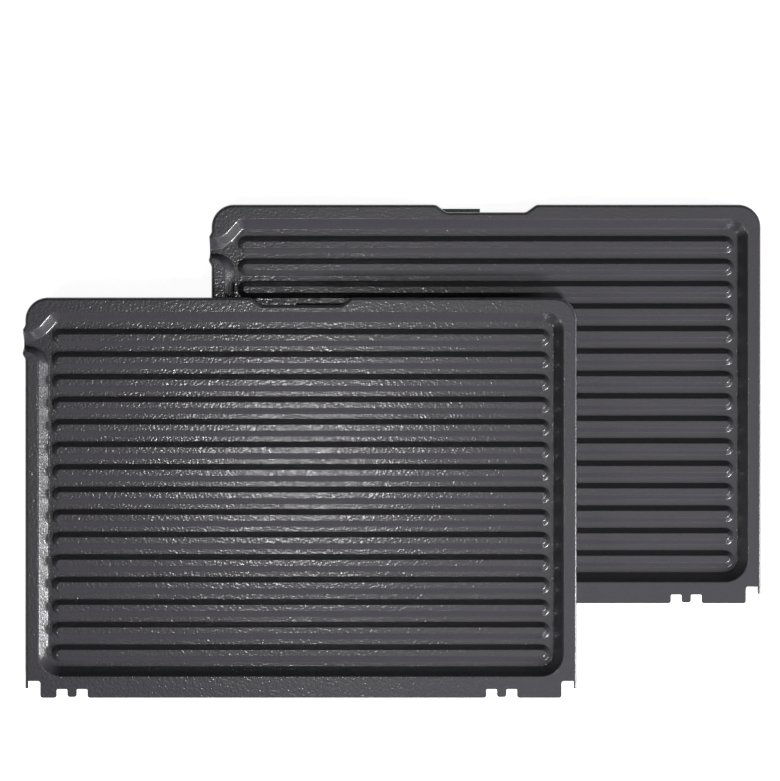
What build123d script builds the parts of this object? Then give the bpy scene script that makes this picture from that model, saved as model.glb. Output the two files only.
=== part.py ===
from build123d import *
from math import atan, cos, degrees, radians, sin, tan
import os

# A pair of removable cooking plates for a contact grill, each pressed from one sheet.
# Each plate is a shallow tray with raised ribs, a rim bent down into a skirt on three sides,
# a drain spout through the left skirt, a finger notch with a latch tab at the front
# and a flat notched tongue at the rear, where the grill holds it.
# X runs along the ribs, Y from the rear tongue to the front notch, Z up off the table.

# Sheet and overall size of one plate
sheet = 1.2
plate_width = 330.0
plate_length = 239.4
corner_radius = 13.6
bend_radius = 2.0

# Tray, given by the sharp lines where its walls meet the rim
tray_depth = 5.8
wall_run = 5.2
side_rim = 8.2
front_rim = 9.1
rear_rim = 12.8
front_tray_radius = 10.8
rear_tray_radius = 13.6
rim_fillet = 1.6
floor_fillet = 1.6

# Ribs, with gaps from the foot of the tray's walls
rib_pitch = 13.5
rib_height = 3.0
rib_base = 9.8
rib_crown = 4.2
rib_end_gap = 3.6
rib_side_gap = 3.0
rib_shift = -0.65
rib_end_sides = 12

# Drain spout through the left skirt: places measured from the front edge and the left edge
spout_inset = 20.9
spout_width = 10.9
spout_floor_step = 1.8
spout_shoulder = 19.2
shoulder_radius = 7.0
shoulder_turn = 49.0
flare_radius = 13.0
lower_rim_radius = 8.0
lower_floor_radius = 10.4
lip_reach = 1.1
ear_reach = 1.7
ear_side = 1.8
ear_end = 2.4
ear_gap = 1.4

# Front notch and the latch tab bent out below it
notch_width = 60.4
notch_slant = 6.4
notch_depth = 4.6
notch_fillet = 4.0
tab_overrun = 2.5
tab_width = 22.7
tab_reach = 2.3
tab_corner = 1.0

# Rear tongue, with a pair of cut-outs and a tooth between them at each side
tongue_inset = 9.2
left_cuts_inset = 9.8
right_cuts_inset = 26.6
cut_width = 6.4
tooth_width = 5.6
cut_depth = 5.2
tooth_set_back = 0.5
corner_cut = 10.0
skirt_cut = 5.6
tongue_fillet = 1.5
cut_fillet = 0.8

# How the pair lies: the upper plate is moved left and back on the lower one
shift_x = 111.0
shift_y = 56.0

# Sizes that follow from the ones above
height = tray_depth + sheet
half_width = plate_width / 2
half_length = plate_length / 2
wall_slope = atan(tray_depth / wall_run)
rib_slope = atan(rib_height / ((rib_base - rib_crown) / 2))
tray_side = half_width - side_rim
tray_front = half_length - front_rim
tray_rear = -half_length + rear_rim
floor_length = tray_front - tray_rear - 2 * wall_run
rib_length = 2 * (tray_side - wall_run - rib_end_gap)
rib_count = int((floor_length - 2 * rib_side_gap - rib_base) / rib_pitch) + 1
rib_field_y = (tray_front + tray_rear) / 2 + rib_shift
spout_top = half_length - spout_inset
spout_bottom = spout_top - spout_width
notch_floor = notch_width - 2 * notch_slant
notch_y = half_length - notch_depth
tongue_side = half_width - tongue_inset
beyond = 6.0
hair = 0.1


def plate_outline(drop):
    """Outline of the plate seen from above, drawn in by drop, and running on past the rear edge."""
    upper_peak = spout_top + ear_gap
    lower_peak = spout_bottom - ear_gap
    with BuildSketch() as outline:
        with BuildLine():
            right = Line((half_width, -half_length - beyond), (half_width, half_length - corner_radius))
            front_right = RadiusArc(right @ 1, (half_width - corner_radius, half_length), -corner_radius)
            front = Polyline(
                front_right @ 1,
                (notch_width / 2, half_length),
                (notch_floor / 2, notch_y),
                (-notch_floor / 2, notch_y),
                (-notch_width / 2, half_length),
                (-half_width + corner_radius, half_length),
            )
            front_left = RadiusArc(front @ 1, (-half_width, half_length - corner_radius), -corner_radius)
            left = Line(front_left @ 1, (-half_width, upper_peak + ear_end))
            upper_ear = ThreePointArc(
                left @ 1, (-half_width - ear_reach, upper_peak), (-half_width - lip_reach, upper_peak - ear_side)
            )
            lip = Line(upper_ear @ 1, (-half_width - lip_reach, lower_peak + ear_side))
            lower_ear = ThreePointArc(
                lip @ 1, (-half_width - ear_reach, lower_peak), (-half_width, lower_peak - ear_end)
            )
            rear_left = Line(lower_ear @ 1, (-half_width, -half_length - beyond))
            Line(rear_left @ 1, right @ 0)
        make_face()
        notch_corners = outline.vertices().filter_by_position(
            Axis.X, -notch_width / 2 - hair, notch_width / 2 + hair
        ).filter_by_position(Axis.Y, notch_y - hair, half_length + hair)
        fillet(notch_corners, notch_fillet)
        if drop:
            offset(amount=-drop, kind=Kind.ARC)
    return outline.sketch


def tray_outline(inset, lower_exit, lower_x, lower_radius):
    """Outline of the tray and its spout, drawn in by inset from the line where the walls meet the rim."""
    side = tray_side - inset
    front = tray_front - inset
    rear = tray_rear + inset
    front_radius = front_tray_radius - inset
    rear_radius = rear_tray_radius - inset
    shoulder = shoulder_radius - inset
    flare = flare_radius + inset
    upper_exit = spout_top - inset
    outside = -half_width - beyond
    turn = radians(shoulder_turn)
    shoulder_start = (spout_shoulder - half_width, front)
    shoulder_end = (shoulder_start[0] - shoulder * sin(turn), front - shoulder * (1 - cos(turn)))
    flare_drop = flare * (1 - cos(turn))
    straight = (shoulder_end[1] - upper_exit - flare_drop) / sin(turn)
    flare_start = (shoulder_end[0] - straight * cos(turn), upper_exit + flare_drop)
    flare_end = (flare_start[0] - flare * sin(turn), upper_exit)
    with BuildSketch() as outline:
        with BuildLine():
            right = Line((side, rear + rear_radius), (side, front - front_radius))
            front_right = RadiusArc(right @ 1, (side - front_radius, front), -front_radius)
            front_wall = Line(front_right @ 1, shoulder_start)
            bend_in = RadiusArc(front_wall @ 1, shoulder_end, -shoulder)
            slant = Line(bend_in @ 1, flare_start)
            bend_out = RadiusArc(slant @ 1, flare_end, flare)
            mouth = Polyline(
                bend_out @ 1,
                (outside, upper_exit),
                (outside, lower_exit),
                (lower_x - lower_radius, lower_exit),
            )
            bend_down = RadiusArc(mouth @ 1, (lower_x, lower_exit - lower_radius), lower_radius)
            left = Line(bend_down @ 1, (lower_x, rear + rear_radius))
            rear_left = RadiusArc(left @ 1, (-side + rear_radius, rear), -rear_radius)
            rear_wall = Line(rear_left @ 1, (side - rear_radius, rear))
            RadiusArc(rear_wall @ 1, right @ 0, -rear_radius)
        make_face()
    return outline.sketch


def rib_outlines(shrink):
    """Outlines of all the ribs at their foot, each with its ends rounded by flats, drawn in by shrink."""
    width = rib_base - 2 * shrink
    straight = rib_length - rib_base
    with BuildSketch() as outlines:
        with Locations((0, rib_field_y)):
            with GridLocations(0, rib_pitch, 1, rib_count):
                Rectangle(straight, width)
            with GridLocations(straight, rib_pitch, 2, rib_count):
                RegularPolygon(width / 2, rib_end_sides, major_radius=False, rotation=180 / rib_end_sides)
    return outlines.sketch


def bent_block(drop):
    """Block under the bent rim, with its front and side edges rounded over on the cooking side."""
    with BuildPart() as block:
        with BuildSketch(Plane.XY.offset(-beyond)):
            add(plate_outline(drop))
        extrude(amount=height - drop + beyond)
        if not drop:
            bend = block.faces().sort_by(Axis.Z)[-1].edges().filter_by_position(
                Axis.Y, -half_length, half_length + hair
            )
            fillet(bend, bend_radius)
    return block


def edges_at(form, level, x_range, y_range):
    """Edges whose middles lie at one height, between two places along X and along Y."""
    level_edges = form.edges().filter_by_position(Axis.Z, level - hair / 2, level + hair / 2)
    return level_edges.filter_by_position(Axis.X, *x_range).filter_by_position(Axis.Y, *y_range)


def pressed_form(drop):
    """Everything below the sheet's cooking side, or below its underside when drop is the sheet."""
    top = height - drop
    bottom = top - tray_depth
    wall_spread = drop * tan(wall_slope / 2)
    block_width = plate_width + beyond
    lower_corner = half_width - side_rim
    floor_exit = spout_bottom + spout_floor_step
    with BuildPart() as form:
        with BuildSketch(Plane.XY.offset(-beyond)):
            Rectangle(block_width, plate_length + 3 * beyond)
        extrude(amount=top + beyond)
        with BuildSketch(Plane.XY.offset(top)):
            add(tray_outline(0, spout_bottom, -lower_corner, lower_rim_radius))
            if drop:
                offset(amount=wall_spread)
        with BuildSketch(Plane.XY.offset(bottom)):
            add(tray_outline(wall_run, floor_exit, wall_run - lower_corner, lower_floor_radius))
            if drop:
                offset(amount=wall_spread)
        loft(ruled=True, mode=Mode.SUBTRACT)
        tray_x = (hair - block_width / 2, tray_side + hair)
        tray_y = (tray_rear - hair, tray_front + hair)
        fillet(edges_at(form, bottom, tray_x, tray_y), floor_fillet + drop)
        if not drop:
            fillet(edges_at(form, top, tray_x, tray_y), rim_fillet)
        with BuildSketch(Plane.XY.offset(bottom)):
            add(rib_outlines(drop * tan(rib_slope / 2)))
        extrude(amount=rib_height, taper=90 - degrees(rib_slope))
        add(bent_block(drop).part, mode=Mode.INTERSECT)
    return form


def rear_outline():
    """Everything behind the rear edge: corner cut-outs, two notches with a tooth between at each side."""
    tongue = -half_length
    cut = tongue + cut_depth
    tooth = tongue + tooth_set_back
    inner = tongue + corner_cut
    skirt_end = tongue + skirt_cut
    far = tongue - 2 * beyond
    pair_width = 2 * cut_width + tooth_width
    edge = [(-tongue_side, inner), (-tongue_side, tongue)]
    for start in (left_cuts_inset - tongue_side, tongue_side - right_cuts_inset - pair_width):
        a, b = start, start + cut_width
        c, d = b + tooth_width, start + pair_width
        edge += [(a, tongue), (a, cut), (b, cut), (b, tooth), (c, tooth), (c, cut), (d, cut), (d, tongue)]
    edge += [(tongue_side, tongue), (tongue_side, inner)]
    skirt_inside = half_width - bend_radius
    side = half_width + beyond
    with BuildSketch() as outline:
        with BuildLine():
            Polyline(
                (-side, far), (-side, skirt_end), (-skirt_inside, skirt_end), (-skirt_inside, inner),
                *edge,
                (skirt_inside, inner), (skirt_inside, skirt_end), (side, skirt_end), (side, far), close=True,
            )
        make_face()
        inner_x = (-tongue_side - hair, tongue_side + hair)
        deep_y = (cut - hair, cut + hair)
        corners = outline.vertices().filter_by_position(Axis.X, *inner_x)
        deep = corners.filter_by_position(Axis.Y, *deep_y)
        fillet(corners.filter_by_position(Axis.Y, far + hair, inner + hair) - deep, tongue_fillet)
        deep = outline.vertices().filter_by_position(Axis.X, *inner_x).filter_by_position(Axis.Y, *deep_y)
        fillet(deep, cut_fillet)
    return outline.sketch


with BuildPart() as plate:
    add(pressed_form(0).part)
    add(pressed_form(sheet).part, mode=Mode.SUBTRACT)
    with BuildSketch():
        add(rear_outline())
    extrude(amount=height + beyond, both=True, mode=Mode.SUBTRACT)
    split(bisect_by=Plane.XY, keep=Keep.TOP)
    tab_left = -notch_floor / 2 - tab_overrun
    with BuildSketch() as tab:
        with BuildLine():
            Polyline(
                (tab_left, notch_y - sheet),
                (tab_left + tab_width, notch_y - sheet),
                (tab_left + tab_width, notch_y + tab_reach),
                (tab_left, notch_y + tab_reach),
                close=True,
            )
        make_face()
        fillet(tab.vertices().sort_by(Axis.Y)[-2:].sort_by(Axis.X)[-1], tab_corner)
    extrude(amount=sheet)

# The origin is on the table under the middle of the pair
box = plate.part.bounding_box()
middle_x = (box.min.X + box.max.X) / 2
middle_y = (box.min.Y + box.max.Y) / 2

with BuildPart() as lower_plate:
    with Locations((shift_x / 2 - middle_x, shift_y / 2 - middle_y, 0)):
        add(plate.part)

with BuildPart() as upper_plate:
    with Locations((-shift_x / 2 - middle_x, -shift_y / 2 - middle_y, height)):
        add(plate.part)

os.makedirs("parts", exist_ok=True)
lower_plate.part.label = "lower_plate"
export_step(lower_plate.part, "parts/lower_plate.step")
upper_plate.part.label = "upper_plate"
export_step(upper_plate.part, "parts/upper_plate.step")
print("plate", round(box.size.X, 2), round(box.size.Y, 2), round(box.size.Z, 2), "mm")
print("ribs", rib_count, "and volume of one plate", round(plate.part.volume), "mm3")
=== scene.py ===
# %% [markdown]
# # A pair of cooking plates for a contact grill
# The photograph looks straight down on two removable grill plates, one lying on the other.
# Each is pressed from one sheet of metal: a shallow tray, fifteen ribs, a rim bent down into
# a skirt, a drain spout, a finger notch with a latch tab and a flat tongue at the rear.
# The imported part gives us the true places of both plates. Here we build their pressed
# surfaces again with finer bends, because rounded metal is what catches the light.

import bpy
import bmesh
from math import acos, atan2, cos, hypot, pi, radians, sin, sqrt, tan
from mathutils import Matrix, Vector


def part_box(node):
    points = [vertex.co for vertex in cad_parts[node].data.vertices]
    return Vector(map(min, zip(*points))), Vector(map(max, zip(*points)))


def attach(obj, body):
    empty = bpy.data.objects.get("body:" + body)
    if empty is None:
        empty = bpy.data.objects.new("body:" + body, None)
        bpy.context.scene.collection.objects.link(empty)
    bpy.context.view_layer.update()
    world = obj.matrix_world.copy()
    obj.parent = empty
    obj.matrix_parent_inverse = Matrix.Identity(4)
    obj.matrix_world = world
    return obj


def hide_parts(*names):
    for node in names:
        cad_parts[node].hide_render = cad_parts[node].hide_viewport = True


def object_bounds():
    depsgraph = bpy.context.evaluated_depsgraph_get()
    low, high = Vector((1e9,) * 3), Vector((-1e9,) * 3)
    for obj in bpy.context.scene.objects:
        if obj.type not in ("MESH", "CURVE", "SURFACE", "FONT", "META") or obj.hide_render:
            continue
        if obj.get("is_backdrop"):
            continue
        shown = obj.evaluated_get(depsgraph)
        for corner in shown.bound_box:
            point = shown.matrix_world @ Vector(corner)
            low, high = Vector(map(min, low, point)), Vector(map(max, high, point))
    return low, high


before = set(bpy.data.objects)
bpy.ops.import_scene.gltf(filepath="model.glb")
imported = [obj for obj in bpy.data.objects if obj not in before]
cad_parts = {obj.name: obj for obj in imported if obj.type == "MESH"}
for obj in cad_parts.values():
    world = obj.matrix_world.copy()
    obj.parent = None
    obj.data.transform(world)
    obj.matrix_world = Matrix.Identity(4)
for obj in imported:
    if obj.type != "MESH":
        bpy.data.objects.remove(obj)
bpy.context.view_layer.update()

# %% [markdown]
# ## Where the two plates lie
# Both plates are the same pressing, so one mesh in millimetres is enough, and it is moved to
# each plate's place at the end. A plate's middle can't be read from its box alone, because
# the spout's lip stands out on the left. We measure from the right edge and the rear edge,
# which are straight.

# %% Find each plate's middle
MM = 0.001
TINY = 1e-3
sheet = 1.2
half_width = 165.0
half_length = 119.7
height = 7.0

places = {}
for name in ("lower_plate", "upper_plate"):
    low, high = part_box(name)
    places[name] = Vector((high.x - half_width * MM, low.y + half_length * MM, low.z))
    print(name, "middle at", [round(c / MM, 2) for c in places[name]], "mm")

# %% [markdown]
# ## The fold of the metal, seen from the side
# A wall of the tray leaves the rim in a small outward curve, runs straight down at 48 degrees
# and meets the floor in another curve. The outer edge bends down with a radius of 2 mm.
# We give both the same list of depths. Then a ring of points on the wall and a ring on the
# skirt lie at the same height, and can be welded where the spout cuts through the skirt.

# %% Depths below the rim, and how far each surface has moved in at that depth
tray_depth = 5.8
wall_run = 5.2
wall_slope = atan2(tray_depth, wall_run)
fold_radius = 1.6
bend_radius = 2.0
fold_depth = fold_radius * (1 - cos(wall_slope))
fold_reach = fold_radius * tan(wall_slope / 2)
fold_steps = 7
bend_steps = 6

fold_angles = [wall_slope * i / fold_steps for i in range(fold_steps + 1)]
bend_start = acos(1 - fold_depth / bend_radius)
bend_share = (pi / 2 - bend_start) / bend_steps
bend_angles = [bend_start + bend_share * i for i in range(1, bend_steps + 1)]
depths = [fold_radius * (1 - cos(a)) for a in fold_angles]
depths += [bend_radius * (1 - cos(a)) for a in bend_angles]
depths += [tray_depth - fold_radius * (1 - cos(a)) for a in reversed(fold_angles)]


def slope_in(depth, fall, run, radius):
    """How far in a wall has come at a depth, from where its sharp top edge would be."""
    slope = atan2(fall, run)
    reach = radius * tan(slope / 2)
    curve = radius * (1 - cos(slope))
    if depth < curve:
        return radius * sin(acos(1 - depth / radius)) - reach
    if depth > fall - curve:
        return run + reach - radius * sin(acos(min(1, 1 - (fall - depth) / radius)))
    return depth * run / fall


def bend_in(depth):
    """How far the skirt's outer side stands in from the plate's edge at a depth."""
    if depth >= bend_radius:
        return 0.0
    return bend_radius - sqrt(bend_radius**2 - (bend_radius - depth) ** 2)


print(len(depths), "depths from", round(depths[0], 2), "to", round(depths[-1], 2), "mm")

# %% [markdown]
# ## Outlines with rounded corners
# An outline starts as one flat face with sharp corners. Bevelling a corner point of a flat
# face rounds it. The bevel is told how far to go back along the two edges, so the radius we
# want is turned into that distance with the angle between the edges.

# %% Helpers that draw an outline and round its corners
def outline_face(bm, points, level):
    """One flat face through a few points, facing up."""
    face = bm.faces.new([bm.verts.new((x, y, level)) for x, y in points])
    face.normal_update()
    if face.normal.z < 0:
        face.normal_flip()
    return face


def nearest(bm, x, y):
    """The point of the mesh that is nearest to a place seen from above."""
    return min(bm.verts, key=lambda v: hypot(v.co.x - x, v.co.y - y))


def round_corner(bm, x, y, radius, steps):
    """Rounds the flat corner nearest to a place."""
    corner = nearest(bm, x, y)
    face = corner.link_faces[0]
    edges = [e for e in corner.link_edges if face in e.link_faces]
    sides = [e.other_vert(corner).co - corner.co for e in edges]
    turn = pi - sides[0].angle(sides[1])
    bmesh.ops.bevel(
        bm, geom=[corner], offset=radius * tan(turn / 2), offset_type="OFFSET",
        affect="VERTICES", segments=steps, profile=0.5, material=-1,
    )


def fold_rings(bm, face, steps):
    """Folds a flat face in and up or down, one ring for each step given as in and up."""
    for inward, upward in steps:
        bmesh.ops.inset_individual(
            bm, faces=[face], thickness=inward, depth=upward, use_even_offset=True
        )
    return face


# %% [markdown]
# ## The tray and its spout
# The tray's outline is drawn where its walls start to curve. At the upper left the wall turns
# off to the side twice and leaves the plate: that is the spout that drains the fat. We draw
# the spout too long, fold the whole outline down ring by ring and cut it off afterwards.

# %% Fold down the tray's walls
side_rim, front_rim, rear_rim = 8.2, 9.1, 12.8
tray_side = half_width - side_rim
tray_front = half_length - front_rim
tray_rear = -half_length + rear_rim
rear_radius, front_radius, shoulder_radius, flare_radius, lower_radius = 13.6, 10.8, 7.0, 13.0, 8.0
spout_top = 98.8
spout_bottom = 87.9
side = tray_side + fold_reach
front = tray_front + fold_reach
rear = tray_rear - fold_reach
mouth_top = spout_top + fold_reach
mouth_bottom = spout_bottom - fold_reach
shoulder_turn = radians(49)
shoulder = (-149.0, front)
flare = (shoulder[0] - (front - mouth_top) / tan(shoulder_turn), mouth_top)
too_far = -185.0

tray = bmesh.new()
floor_face = outline_face(
    tray,
    [
        (side, rear), (side, front), shoulder, flare, (too_far, mouth_top),
        (too_far, mouth_bottom), (-side, mouth_bottom), (-side, rear),
    ],
    height,
)
round_corner(tray, side, rear, rear_radius + fold_reach, 14)
round_corner(tray, -side, rear, rear_radius + fold_reach, 14)
round_corner(tray, side, front, front_radius + fold_reach, 12)
round_corner(tray, *shoulder, shoulder_radius + fold_reach, 8)
round_corner(tray, *flare, flare_radius - fold_reach, 10)
round_corner(tray, -side, mouth_bottom, lower_radius - fold_reach, 14)

tray.faces.ensure_lookup_table()
floor_face = tray.faces[0]
lower_side = tray.verts.layers.float.new("lower side of the spout")
corner_x = -side - (lower_radius - fold_reach)
corner_y = mouth_bottom - (lower_radius - fold_reach)
left_part = -150
for v in floor_face.verts:
    if corner_y + 0.01 < v.co.y < mouth_bottom + 0.01 and v.co.x < left_part:
        beside = v.co.x - corner_x
        v[lower_side] = pi / 2 if beside < 0 else atan2(v.co.y - corner_y, beside)

wall_ins = [slope_in(d, tray_depth, wall_run, fold_radius) for d in depths]
wall_steps = [
    (wall_ins[i + 1] - wall_ins[i], depths[i] - depths[i + 1]) for i in range(len(depths) - 1)
]
fold_rings(tray, floor_face, wall_steps)
bmesh.ops.delete(tray, geom=[floor_face], context="FACES_ONLY")
lowest = min(v.co.z for v in tray.verts)
print("tray walls", len(tray.faces), "faces, floor at", round(lowest, 3), "mm")

# %% [markdown]
# The lower side of the spout is steeper than the other walls, because the pressing narrows
# there. Its points remember their turn round the corner from the outline, as the rings copy
# it. Each point moves back by a share of its depth, and the share fades out round the corner.

# %% Steepen the lower side of the spout, and cut the spout at the bend
wall_reach = wall_run + 2 * fold_reach
pull_back, pull_right = 3.4, 2.8
for v in tray.verts:
    turn = v[lower_side]
    if turn > 0:
        inward = slope_in(height - v.co.z, tray_depth, wall_run, fold_radius) + fold_reach
        v.co.y -= pull_back * sin(turn) * inward / wall_reach
        v.co.x += pull_right * (1 - cos(turn)) * inward / wall_reach

bend_line = half_width - bend_radius
bmesh.ops.bisect_plane(
    tray, geom=tray.verts[:] + tray.edges[:] + tray.faces[:], dist=1e-4,
    plane_co=(-bend_line, 0, 0), plane_no=(-1, 0, 0), clear_outer=True,
)
cut_edges = [
    e for e in tray.edges
    if e.is_boundary and all(abs(v.co.x + bend_line) < TINY for v in e.verts)
]
made = bmesh.ops.extrude_edge_only(tray, edges=cut_edges)["geom"]
mouth_points = [v for v in made if isinstance(v, bmesh.types.BMVert)]
for v in mouth_points:
    v.co.x = bend_in(height - v.co.z) - half_width
mouth = {(round(v.co.z, 2), v[lower_side] == 0): v.co.copy() for v in mouth_points}
print("spout's mouth", len(mouth), "points")

# %% [markdown]
# ## The skirt
# The skirt starts as the plate's whole outline on the table. It is folded straight up and
# then round the bend, on the same heights as the tray's walls. The finger notch in the front
# edge is part of the outline. At the rear the metal stays flat, so the outline runs on past
# the tongue there, and a plane cuts that part away.

# %% Fold up the skirt
notch_side = 60.4 / 2
notch_floor = 47.6 / 2
notch_y = half_length - 4.6
rear_end = -half_length - 20
skirt_end = -half_length + 5.6
tongue_start = -half_length + 10.0
plate_radius = 13.6
notch_radius = 4.0

skirt = bmesh.new()
outline_face(
    skirt,
    [
        (half_width, rear_end), (half_width, half_length),
        (notch_side, half_length), (notch_floor, notch_y),
        (-notch_floor, notch_y), (-notch_side, half_length),
        (-half_width, half_length), (-half_width, rear_end),
    ],
    0,
)
for x in (-half_width, half_width):
    round_corner(skirt, x, half_length, plate_radius, 16)
for x, y in ((notch_side, half_length), (notch_floor, notch_y)):
    round_corner(skirt, x, y, notch_radius, 8)
    round_corner(skirt, -x, y, notch_radius, 8)

skirt_depths = [height] + depths[::-1]
skirt_steps = []
for deep, shallow in zip(skirt_depths, skirt_depths[1:]):
    skirt_steps.append((bend_in(shallow) - bend_in(deep), deep - shallow))
skirt.faces.ensure_lookup_table()
rim_face = fold_rings(skirt, skirt.faces[0], skirt_steps)
bmesh.ops.delete(skirt, geom=[rim_face], context="FACES_ONLY")
highest = max(v.co.z for v in skirt.verts)
print("skirt", len(skirt.faces), "faces, rim at", round(highest, 3), "mm")

# %% [markdown]
# Cutting with a plane adds a column of points where we need one: at the end of the skirt, at
# the tongue's corner, on both sides of the spout's mouth and of the latch tab. The columns
# beside the mouth then slide along Y onto the ends of the spout's walls.

# %% Cut the skirt's ends, the spout's mouth and the sides of the latch tab
def cut_at(bm, faces, place, direction, clear=False):
    """Adds points where a plane crosses these faces, and can clear what lies beyond it."""
    edges = {e for f in faces for e in f.edges}
    points = {v for f in faces for v in f.verts}
    bmesh.ops.bisect_plane(
        bm, geom=list(points) + list(edges) + list(faces), dist=1e-4,
        plane_co=place, plane_no=direction, clear_outer=clear,
    )


def faces_where(bm, test):
    """The faces whose middle passes a test."""
    return [f for f in bm.faces if test(f.calc_center_median())]


cut_at(skirt, skirt.faces[:], (0, skirt_end, 0), (0, -1, 0), clear=True)
cut_at(skirt, skirt.faces[:], (0, tongue_start, 0), (0, 1, 0))
left_skirt = -160
mouth_sides = (mouth[height, False].y, mouth[height, True].y)
for y in mouth_sides:
    cut_at(skirt, faces_where(skirt, lambda c: c.x < left_skirt), (0, y, 0), (0, 1, 0))
open_mouth = faces_where(
    skirt, lambda c: c.x < left_skirt and mouth_sides[0] < c.y < mouth_sides[1]
)
bmesh.ops.delete(skirt, geom=open_mouth, context="FACES")
for beyond in (0.7, 1.4, 2.1, 2.8, 3.6, 4.6, 6.0):
    for y in (mouth_sides[0] - beyond, mouth_sides[1] + beyond):
        cut_at(skirt, faces_where(skirt, lambda c: c.x < left_skirt), (0, y, 0), (0, 1, 0))
floor_level = height - tray_depth
for v in skirt.verts:
    for y, upper in zip(mouth_sides, (False, True)):
        if v.co.x < left_skirt and abs(v.co.y - y) < TINY:
            v.co.y = mouth[round(max(v.co.z, floor_level), 2), upper].y

tab_sides = (-26.3, -3.6)
front_part = 100
for x in tab_sides:
    near_notch = faces_where(skirt, lambda c: c.y > front_part and abs(c.x) < notch_side + 2)
    cut_at(skirt, near_notch, (x, 0, 0), (1, 0, 0))
print("skirt cut, now", len(skirt.faces), "faces")

# %% [markdown]
# ## The latch tab
# Below the finger notch a narrow strip of the sheet is bent outwards. The lid's latch takes
# hold of it. We take away the last bit of the skirt above the table there, and extrude the
# edge that is left straight out.

# %% Bend out the latch tab
tab_y = notch_y + 2.3
below_tab = faces_where(
    skirt,
    lambda c: c.z < floor_level and tab_sides[0] < c.x < tab_sides[1] and c.y > front_part,
)
bmesh.ops.delete(skirt, geom=below_tab, context="FACES")
tab_edges = [
    e for e in skirt.edges
    if e.is_boundary and all(
        abs(v.co.z - floor_level) < TINY and v.co.y > front_part
        and tab_sides[0] - TINY < v.co.x < tab_sides[1] + TINY
        for v in e.verts
    )
]
made = bmesh.ops.extrude_edge_only(skirt, edges=tab_edges)["geom"]
for v in made:
    if isinstance(v, bmesh.types.BMVert):
        v.co.y = tab_y
print("latch tab", len(tab_edges), "faces wide")

# %% [markdown]
# ## The ribs
# A rib is a long bar with round ends. A circle whose halves are pulled apart gives its foot.
# The same folding helper raises it: a soft curve at the foot, a slope and a rounded crown.
# One rib is made and copied fourteen times.

# %% Raise one rib and copy it
rib_height = 3.0
rib_base = 9.8
rib_run = 2.8
rib_fold = 1.2
rib_slope = atan2(rib_height, rib_run)
rib_length = 298.0
rib_pitch = 13.5
rib_count = 15
rib_field_y = 1.2
around = 40

ribs = bmesh.new()
rib_reach = rib_fold * tan(rib_slope / 2)
rib_radius = rib_base / 2 + rib_reach
bmesh.ops.create_circle(
    ribs, cap_ends=True, segments=around, radius=rib_radius / cos(pi / around)
)
bmesh.ops.rotate(ribs, verts=ribs.verts[:], matrix=Matrix.Rotation(pi / around, 3, "Z"))
pull = rib_length / 2 + rib_reach - rib_radius
for v in ribs.verts:
    v.co.x += pull if v.co.x > 0 else -pull
ribs.faces.ensure_lookup_table()
foot = ribs.faces[0]
foot.normal_update()
if foot.normal.z < 0:
    foot.normal_flip()

rib_angles = [rib_slope * i / 5 for i in range(6)]
rise = [rib_fold * (1 - cos(a)) for a in rib_angles]
rise += [rib_height - r for r in reversed(rise)]
rib_ins = [slope_in(r, rib_height, rib_run, rib_fold) for r in rise]
rib_steps = [
    (rib_ins[i + 1] - rib_ins[i], rise[i + 1] - rise[i]) for i in range(len(rise) - 1)
]
fold_rings(ribs, foot, rib_steps)
bmesh.ops.translate(
    ribs, verts=ribs.verts[:], vec=(0, rib_field_y - rib_pitch * (rib_count // 2), floor_level)
)
one_rib = ribs.verts[:] + ribs.edges[:] + ribs.faces[:]
for number in range(1, rib_count):
    copy = bmesh.ops.duplicate(ribs, geom=one_rib)["geom"]
    copied = [v for v in copy if isinstance(v, bmesh.types.BMVert)]
    bmesh.ops.translate(ribs, verts=copied, vec=(0, rib_pitch * number, 0))
print(rib_count, "ribs,", len(ribs.faces), "faces")

# %% [markdown]
# ## Joining the sheet
# The walls, the skirt and the ribs become one mesh, and the points that lie on each other
# are merged. Two flat areas are still open: the rim and the floor. The rim is one closed line
# of edges, once the tongue's notched edge has been drawn, so a single face fills it. The
# floor has fifteen holes for the ribs, and triangles fill what is between.

# %% Join the pieces and draw the tongue
plate = bmesh.new()
for part in (tray, skirt, ribs):
    passing = bpy.data.meshes.new("passing")
    part.to_mesh(passing)
    plate.from_mesh(passing)
    bpy.data.meshes.remove(passing)
    part.free()
bmesh.ops.remove_doubles(plate, verts=plate.verts[:], dist=0.004)

tongue_side = half_width - 9.2
tongue = -half_length
tooth = tongue + 0.5
cut_floor = tongue + 5.2
tooth_steps = (0, 6.4, 12.0, 18.4)
tongue_points = [(tongue_side, tongue_start), (tongue_side, tongue)]
for right_edge in (129.2, -127.6):
    a, b, c, d = (right_edge - step for step in tooth_steps)
    tongue_points += [
        (a, tongue), (a, cut_floor), (b, cut_floor), (b, tooth),
        (c, tooth), (c, cut_floor), (d, cut_floor), (d, tongue),
    ]
tongue_points += [(-tongue_side, tongue), (-tongue_side, tongue_start)]
line = [nearest(plate, bend_line, tongue_start)]
line += [plate.verts.new((x, y, height)) for x, y in tongue_points]
print("tongue's edge starts at", [round(c, 2) for c in line[0].co])

# %% Close the tongue's line, fill the rim and round the tongue's corners
line.append(nearest(plate, -bend_line, tongue_start))
for start, end in zip(line, line[1:]):
    plate.edges.new((start, end))
new_edges = {e for v in line[1:-1] for e in v.link_edges}
rim_edges = [
    e for e in plate.edges
    if e in new_edges or e.is_boundary and all(v.co.z > height - TINY for v in e.verts)
    and max(v.co.y for v in e.verts) > tongue_start + TINY
]
filled = bmesh.ops.edgeloop_fill(plate, edges=rim_edges)["faces"]
print("rim filled with", len(filled), "face of", [len(f.verts) for f in filled], "points")
notch_corner, tongue_corner = 0.8, 1.5
for x, y in tongue_points:
    round_corner(plate, x, y, notch_corner if y == cut_floor else tongue_corner, 5)

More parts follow.
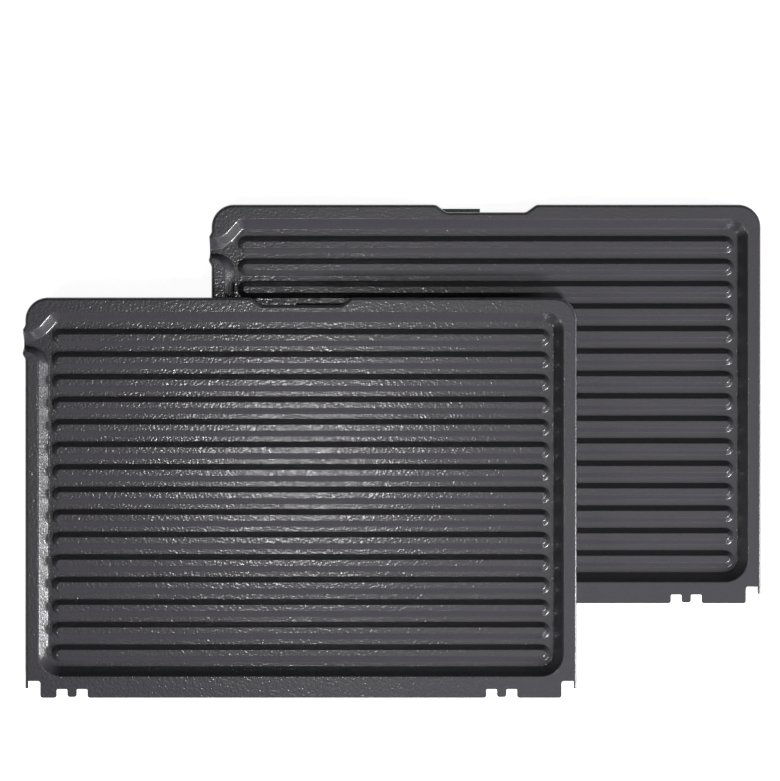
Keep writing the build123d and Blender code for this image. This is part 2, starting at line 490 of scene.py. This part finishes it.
# %% Fill the floor between the ribs
mouth_corners = []
for upper in (True, False):
    corner = mouth[round(floor_level, 2), upper]
    mouth_corners.append(min(plate.verts, key=lambda v: (v.co - corner).length))
lip = plate.edges.new(mouth_corners)
floor_edges = [
    e for e in plate.edges
    if e == lip or e.is_boundary and all(abs(v.co.z - floor_level) < TINY for v in e.verts)
    and not all(v.co.y > notch_y - 1 for v in e.verts)
]
floor = bmesh.ops.triangle_fill(plate, use_beauty=True, edges=floor_edges)["geom"]
flat_area = 1e-4
slivers = [g for g in floor if isinstance(g, bmesh.types.BMFace) and g.calc_area() < flat_area]
bmesh.ops.delete(plate, geom=slivers, context="FACES")
print("floor filled,", len(slivers), "triangle without any width taken away")

# %% [markdown]
# ## Thickness
# The mouth of the spout is drawn out a little past the skirt, and furthest at its two sides,
# where the metal was pulled round the corner. Then the surface gets its thickness on the
# underside, so both sides of the plate follow the same folds.

# %% Draw out the mouth and give the sheet its thickness
lip_reach = 1.1
ear_reach = 1.7
ear_end = 4.4
ear_side = 2.2
upper_ear, lower_ear = 99.4, 86.4
for v in plate.verts:
    if v.co.x < -bend_line + 0.01:
        past = max(v.co.y - upper_ear, lower_ear - v.co.y)
        if past > 0:
            out = ear_reach * (0.5 + 0.5 * cos(pi * min(past / ear_end, 1)))
        else:
            out = lip_reach + (ear_reach - lip_reach) * (1 - min(-past / ear_side, 1))
        v.co.x -= out

many_sided = 60
bmesh.ops.triangulate(plate, faces=[f for f in plate.faces if len(f.verts) > many_sided])
bmesh.ops.recalc_face_normals(plate, faces=plate.faces[:])
if sum(f.normal.z for f in plate.faces) < 0:
    bmesh.ops.reverse_faces(plate, faces=plate.faces[:])
bmesh.ops.solidify(plate, geom=plate.faces[:], thickness=sheet)
print(
    "sheet", round(min(v.co.z for v in plate.verts), 2), "to",
    round(max(v.co.z for v in plate.verts), 2), "mm,",
    sum(e.is_boundary for e in plate.edges), "open edges",
)

# %% [markdown]
# ## Two plates from one mesh
# The mesh is scaled to metres and copied to both places. Smooth shading makes the folds look
# round, and the weighted normals keep the large flat areas flat right up to the folds. Edges
# sharper than 40 degrees stay sharp: those are the raw edges of the sheet.

# %% Make the two plates and let each ride on its body
bmesh.ops.scale(plate, vec=(MM, MM, MM), verts=plate.verts[:])
sharp_angle = radians(40)
for face in plate.faces:
    face.smooth = True
for edge in plate.edges:
    if edge.calc_face_angle(0) > sharp_angle:
        edge.smooth = False

plates = {}
for name, middle in places.items():
    mesh = bpy.data.meshes.new(name + "_pressed")
    plate.to_mesh(mesh)
    mesh.transform(Matrix.Translation(middle))
    piece = bpy.data.objects.new(name + "_pressed", mesh)
    bpy.context.scene.collection.objects.link(piece)
    normals = piece.modifiers.new("flat areas stay flat", "WEIGHTED_NORMAL")
    normals.keep_sharp = True
    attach(piece, name)
    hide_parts(name)
    plates[name] = piece
    print(piece.name, len(mesh.polygons), "faces")
plate.free()

# %% [markdown]
# ## The non-stick coating
# The coating is a dark grey paint, sprayed on and baked. Seen close, it isn't smooth: it has
# the fine, soft bumps of orange peel, and a faint speckle where it is a little thicker. A group
# of nodes makes the colour, the roughness and the height of the bumps. The material uses the
# bumps twice: for the paint, and for the thin clear layer that gives the small glints.

# %% A node group for a sprayed and baked coating
def coating_group():
    """A sprayed coating's speckle and orange-peel bumps: colour, roughness and height."""
    group = bpy.data.node_groups.new("sprayed coating", "ShaderNodeTree")
    for name, kind, value in (
        ("Colour", "NodeSocketColor", (0.05, 0.05, 0.055, 1)),
        ("Speckle", "NodeSocketFloat", 0.15),
        ("Roughness", "NodeSocketFloat", 0.35),
        ("Bump size", "NodeSocketFloat", 700.0),
    ):
        socket = group.interface.new_socket(name, in_out="INPUT", socket_type=kind)
        socket.default_value = value
    for name, kind in (
        ("Colour", "NodeSocketColor"),
        ("Roughness", "NodeSocketFloat"),
        ("Height", "NodeSocketFloat"),
    ):
        group.interface.new_socket(name, in_out="OUTPUT", socket_type=kind)
    nodes, link = group.nodes, group.links.new
    inputs = nodes.new("NodeGroupInput")
    outputs = nodes.new("NodeGroupOutput")
    place = nodes.new("ShaderNodeTexCoord")
    peel = nodes.new("ShaderNodeTexNoise")
    peel.inputs["Detail"].default_value = 0.5
    link(place.outputs["Object"], peel.inputs["Vector"])
    link(inputs.outputs["Bump size"], peel.inputs["Scale"])
    link(peel.outputs["Fac"], outputs.inputs["Height"])
    fine = nodes.new("ShaderNodeTexNoise")
    fine.inputs["Scale"].default_value = 1600.0
    fine.inputs["Detail"].default_value = 1.0
    link(place.outputs["Object"], fine.inputs["Vector"])
    spread = nodes.new("ShaderNodeMapRange")
    spread.inputs["From Min"].default_value = 0.3
    spread.inputs["From Max"].default_value = 0.7
    spread.inputs["To Min"].default_value = -1.0
    spread.inputs["To Max"].default_value = 1.0
    link(fine.outputs["Fac"], spread.inputs["Value"])
    amount = nodes.new("ShaderNodeMath")
    amount.operation = "MULTIPLY"
    link(spread.outputs["Result"], amount.inputs[0])
    link(inputs.outputs["Speckle"], amount.inputs[1])
    lift = nodes.new("ShaderNodeMath")
    lift.operation = "ADD"
    lift.inputs[1].default_value = 1.0
    link(amount.outputs["Value"], lift.inputs[0])
    tint = nodes.new("ShaderNodeVectorMath")
    tint.operation = "SCALE"
    link(inputs.outputs["Colour"], tint.inputs[0])
    link(lift.outputs["Value"], tint.inputs["Scale"])
    link(tint.outputs["Vector"], outputs.inputs["Colour"])
    rough = nodes.new("ShaderNodeMath")
    rough.operation = "MULTIPLY"
    link(inputs.outputs["Roughness"], rough.inputs[0])
    link(lift.outputs["Value"], rough.inputs[1])
    link(rough.outputs["Value"], outputs.inputs["Roughness"])
    return group


coating = coating_group()
print("coating group with", len(coating.nodes), "nodes")

# %% The coating as a material on both plates
def coated(name, colour, speckle, roughness, bump_size, bump_depth):
    """A material with the sprayed coating."""
    material = bpy.data.materials.new(name)
    material.use_nodes = True
    nodes, link = material.node_tree.nodes, material.node_tree.links.new
    shader = nodes["Principled BSDF"]
    group = nodes.new("ShaderNodeGroup")
    group.node_tree = coating
    group.inputs["Colour"].default_value = (*colour, 1)
    group.inputs["Speckle"].default_value = speckle
    group.inputs["Roughness"].default_value = roughness
    group.inputs["Bump size"].default_value = bump_size
    link(group.outputs["Colour"], shader.inputs["Base Color"])
    link(group.outputs["Roughness"], shader.inputs["Roughness"])
    bump = nodes.new("ShaderNodeBump")
    bump.inputs["Strength"].default_value = 1.0
    bump.inputs["Distance"].default_value = bump_depth
    link(group.outputs["Height"], bump.inputs["Height"])
    link(bump.outputs["Normal"], shader.inputs["Normal"])
    link(bump.outputs["Normal"], shader.inputs["Coat Normal"])
    return material


nonstick = coated("nonstick coating", (0.047, 0.0445, 0.0525), 0.12, 0.34, 750.0, 0.00011)
gloss = nonstick.node_tree.nodes["Principled BSDF"]
gloss.inputs["Coat Weight"].default_value = 0.8
gloss.inputs["Coat Roughness"].default_value = 0.125
for piece in plates.values():
    piece.data.materials.append(nonstick)
print("coated", [p.name for p in plates.values()])

# %% [markdown]
# ## Camera, light and floor
# The photograph was taken from straight above with a long lens, so the two plates are almost
# the same size in it. The key lamp stands to the right, past the plates' rear edge, so every
# slope that faces the finger notch stays dark. A low lamp from the right lights the tray's left
# wall, and a weak one from the left lifts the right wall. A soft box above fills the flat areas,
# and a small lamp close to the lens gives them their round glow.

# %% The camera straight above
camera_height = 1.8
view_width = 0.4662
sensor = 36.0
camera = bpy.data.cameras.new("camera")
camera.sensor_fit = "HORIZONTAL"
camera.sensor_width = sensor
camera.lens = sensor * (camera_height - 2 * height * MM) / view_width
camera_object = bpy.data.objects.new("camera", camera)
camera_object.location = (-0.0014, 0.036, camera_height)
bpy.context.scene.collection.objects.link(camera_object)
bpy.context.scene.camera = camera_object
print("lens", round(camera.lens, 1), "mm")

# %% The lamps
def lamp(name, place, target, width, length, power):
    """A flat lamp that shines from a place towards a target."""
    light = bpy.data.lights.new(name, "AREA")
    light.shape = "RECTANGLE"
    light.size = width
    light.size_y = length
    light.energy = power
    lamp_object = bpy.data.objects.new(name, light)
    lamp_object.location = place
    aim = Vector(target) - Vector(place)
    lamp_object.rotation_euler = aim.to_track_quat("-Z", "Y").to_euler()
    bpy.context.scene.collection.objects.link(lamp_object)


lamp("key lamp", (1.36, -1.45, 1.25), (0, 0, 0), 0.6, 0.6, 72)
lamp("low lamp", (1.8, -0.45, 0.40), (0, 0, 0), 0.7, 0.4, 28)
lamp("left lamp", (-1.5, -1.0, 0.75), (0, 0, 0), 0.5, 0.5, 11)
lamp("soft box", (0.45, 0.0, 1.85), (0.45, 0.0, 0), 1.2, 1.2, 1.8)
lamp("lens lamp", (-0.115, -0.043, 1.80), (-0.058, -0.004, 0), 0.08, 0.08, 1.5)
print("five lamps")

# %% A white floor that keeps a faint shadow, and a dim room
floor_mesh = bpy.data.meshes.new("floor")
below_plates = -0.3 * MM
flat = bmesh.new()
bmesh.ops.create_grid(flat, x_segments=1, y_segments=1, size=4.0)
bmesh.ops.translate(flat, verts=flat.verts[:], vec=(0, 0, below_plates))
flat.to_mesh(floor_mesh)
flat.free()
floor_object = bpy.data.objects.new("floor", floor_mesh)
bpy.context.scene.collection.objects.link(floor_object)
floor_object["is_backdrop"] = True

paper = bpy.data.materials.new("white paper")
paper.use_nodes = True
nodes, link = paper.node_tree.nodes, paper.node_tree.links.new
shader = nodes["Principled BSDF"]
shader.inputs["Base Color"].default_value = (0.8, 0.8, 0.8, 1)
shader.inputs["Roughness"].default_value = 0.9
glow = nodes.new("ShaderNodeEmission")
both = nodes.new("ShaderNodeAddShader")
seen = nodes.new("ShaderNodeLightPath")
either = nodes.new("ShaderNodeMath")
either.operation = "MAXIMUM"
share = nodes.new("ShaderNodeMath")
share.operation = "MULTIPLY"
share.inputs[1].default_value = 0.88
link(seen.outputs["Is Camera Ray"], either.inputs[0])
link(seen.outputs["Is Glossy Ray"], either.inputs[1])
link(either.outputs["Value"], share.inputs[0])
link(share.outputs["Value"], glow.inputs["Strength"])
link(shader.outputs["BSDF"], both.inputs[0])
link(glow.outputs["Emission"], both.inputs[1])
link(both.outputs["Shader"], nodes["Material Output"].inputs["Surface"])
floor_mesh.materials.append(paper)

world = bpy.data.worlds.new("dim room")
world.use_nodes = True
room = world.node_tree.nodes["Background"]
room.inputs["Color"].default_value = (1, 1, 1, 1)
room.inputs["Strength"].default_value = 0.01
bpy.context.scene.world = world
bpy.context.scene.view_settings.view_transform = "Standard"
print("floor and room")

# %% Measure the visual model's box, and finish
bpy.context.view_layer.update()
low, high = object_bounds()
print("visual model", [round(c, 4) for c in low], [round(c, 4) for c in high])
